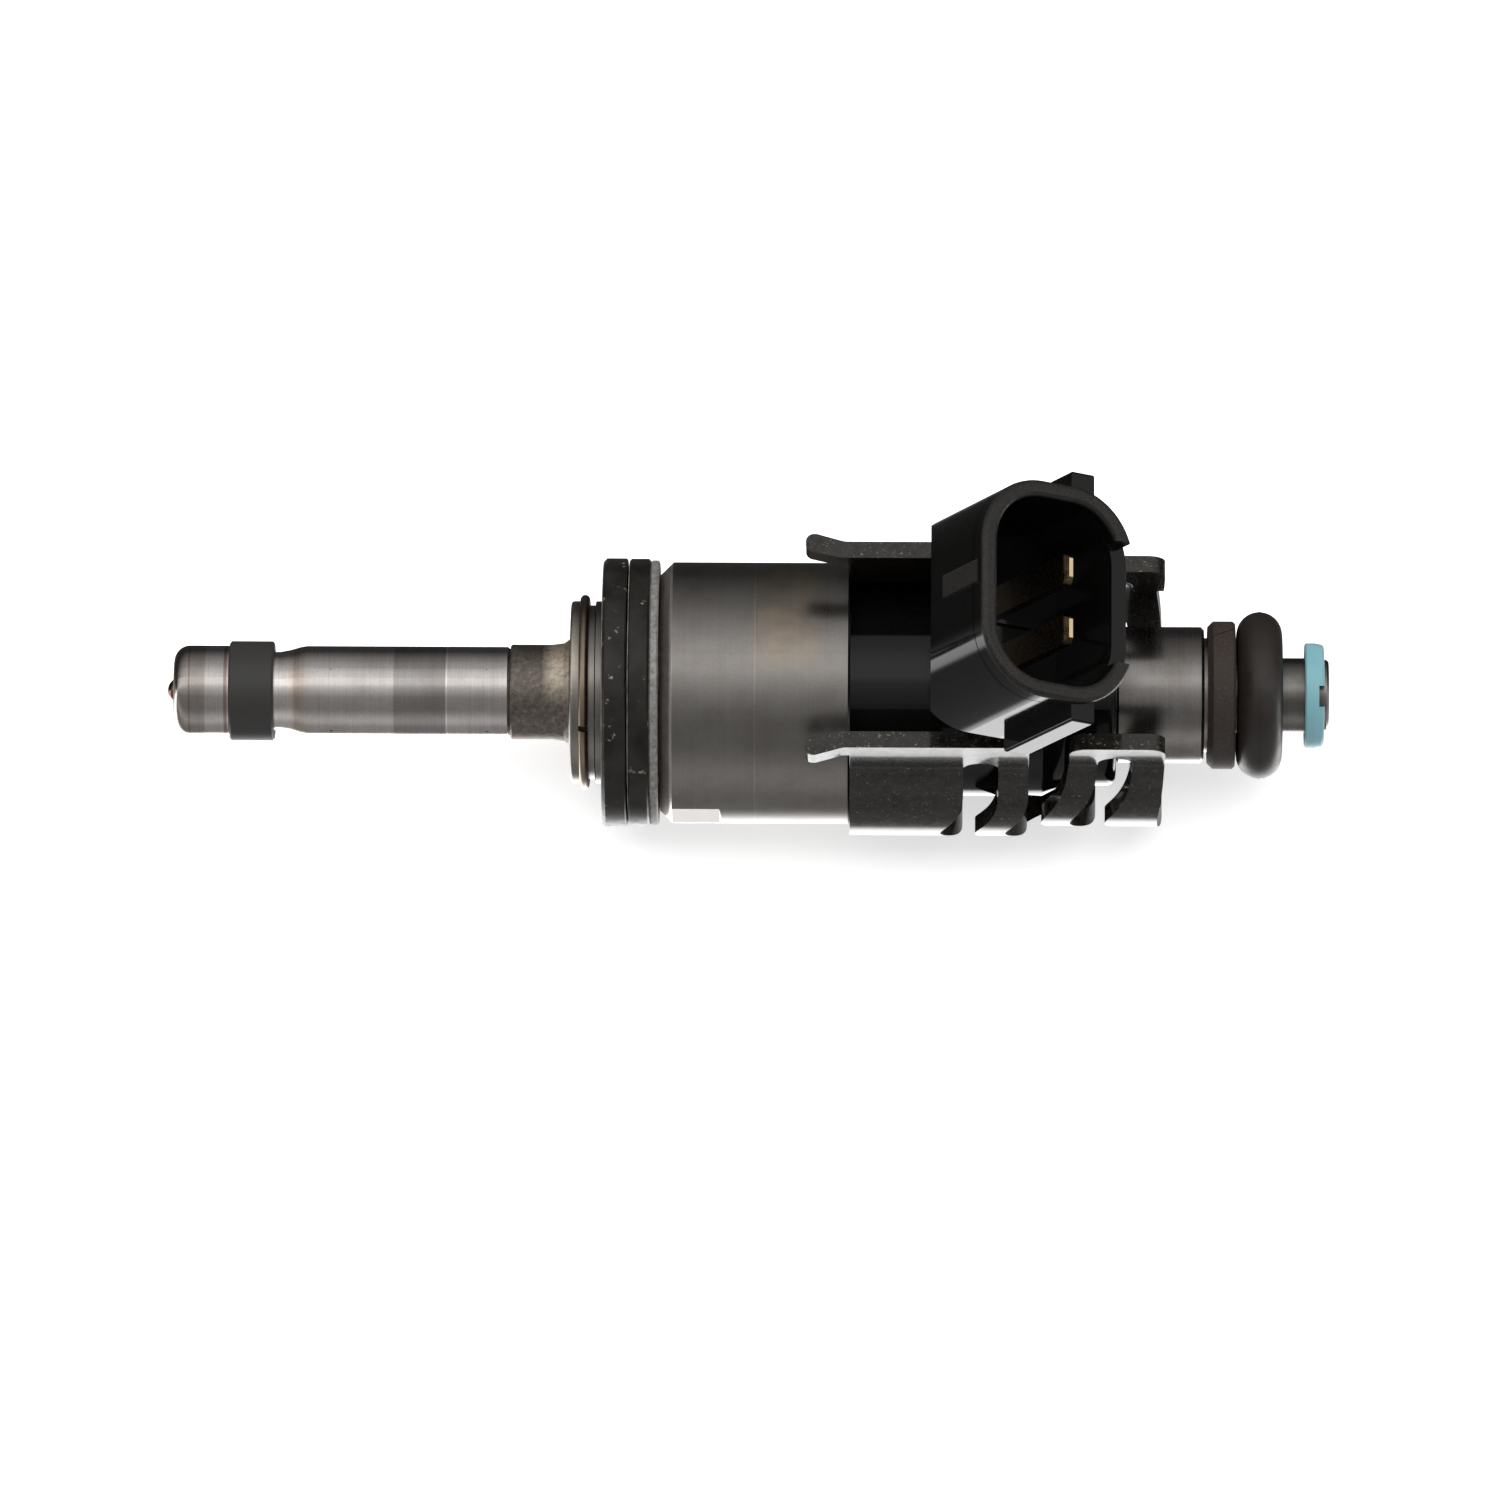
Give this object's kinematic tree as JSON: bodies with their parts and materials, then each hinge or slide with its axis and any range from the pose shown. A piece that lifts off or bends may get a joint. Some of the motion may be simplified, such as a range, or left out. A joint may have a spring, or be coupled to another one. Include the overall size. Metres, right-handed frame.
{
  "type": "fuel injector",
  "caption": "Direct-injection petrol fuel injector with slim nozzle, solenoid housing, angled two-pin connector, rail O-ring inlet and sheet-steel hold-down clip",
  "frame": {"origin": "on the injector's axis, in the face of the support washer that meets the cylinder head", "axes": "X along the axis from the spray tip to the fuel inlet, Z towards the electrical connector, XZ the plane of symmetry"},
  "size_m": [0.0967, 0.0236, 0.0435],
  "materials": {
    "nozzle_steel": "bright polished stainless steel with faint heat lines",
    "ptfe_seal": "dark grey filled fluoropolymer",
    "heat_tinted_steel": "brown heat-tinted turned steel",
    "bronze_spring_wire": "bronze coloured spring wire",
    "blackened_steel": "blackened steel with worn bright edges",
    "rough_grey_ring": "rough grey coating on steel",
    "turned_steel": "grey-brown turned steel with fine marks round it",
    "inner_steel": "plain machined steel inside the injector",
    "coil_plastic": "natural coloured coil former plastic",
    "copper_wire": "enamelled copper wire",
    "inlet_steel": "turned stainless steel",
    "brown_backup_plastic": "dark brown hard fluoropolymer",
    "o_ring_rubber": "black fuel-proof rubber",
    "blue_plastic": "light blue moulded plastic",
    "filter_plastic": "off-white moulded plastic",
    "filter_steel": "fine stainless mesh",
    "black_plastic": "black glass-filled moulded plastic, partly glossy",
    "brass_blade": "gold-toned contact blade",
    "spring_steel_black": "black-brown oiled spring steel sheet"
  },
  "bodies": {
    "root": {"valve_seat": "nozzle_steel", "nozzle_tube": "nozzle_steel", "combustion_seal": "ptfe_seal", "upper_guide": "inner_steel", "valve_body": "heat_tinted_steel", "snap_ring": "bronze_spring_wire", "solenoid_housing": "turned_steel", "bridge_ring": "inner_steel", "pole_piece": "inner_steel", "flux_washer": "inner_steel", "coil_bobbin": "coil_plastic", "coil_winding": "copper_wire", "return_spring": "inner_steel", "adjusting_tube": "inner_steel", "inlet_tube": "inlet_steel", "backup_ring": "brown_backup_plastic", "inlet_o_ring": "o_ring_rubber", "end_ring": "blue_plastic", "filter_frame": "filter_plastic", "filter_mesh": "filter_steel", "connector_overmold": "black_plastic", "terminal_left": "brass_blade", "terminal_right": "brass_blade", "retaining_clip": "spring_steel_black"},
    "needle": {"armature": "inner_steel", "valve_needle": "inner_steel", "valve_ball": "inner_steel"},
    "support_washer": {"support_washer": "blackened_steel"},
    "decoupling_ring": {"decoupling_ring": "blackened_steel", "spacer_ring": "rough_grey_ring"}
  },
  "joints": [
    {"name": "needle_lift", "type": "slide", "parent": "root", "child": "needle", "axis": [1, 0, 0], "range_m": [0, 0.00008], "stiffness_N_per_m": 12000, "springref_m": -0.0015, "deforming": ["return_spring"]},
    {"name": "support_washer_float", "type": "slide", "parent": "root", "child": "support_washer", "axis": [1, 0, 0], "range_m": [-0.0012, 0.00004]},
    {"name": "decoupling_ring_float", "type": "slide", "parent": "root", "child": "decoupling_ring", "axis": [1, 0, 0], "range_m": [-0.00005, 0.00006]}
  ]
}
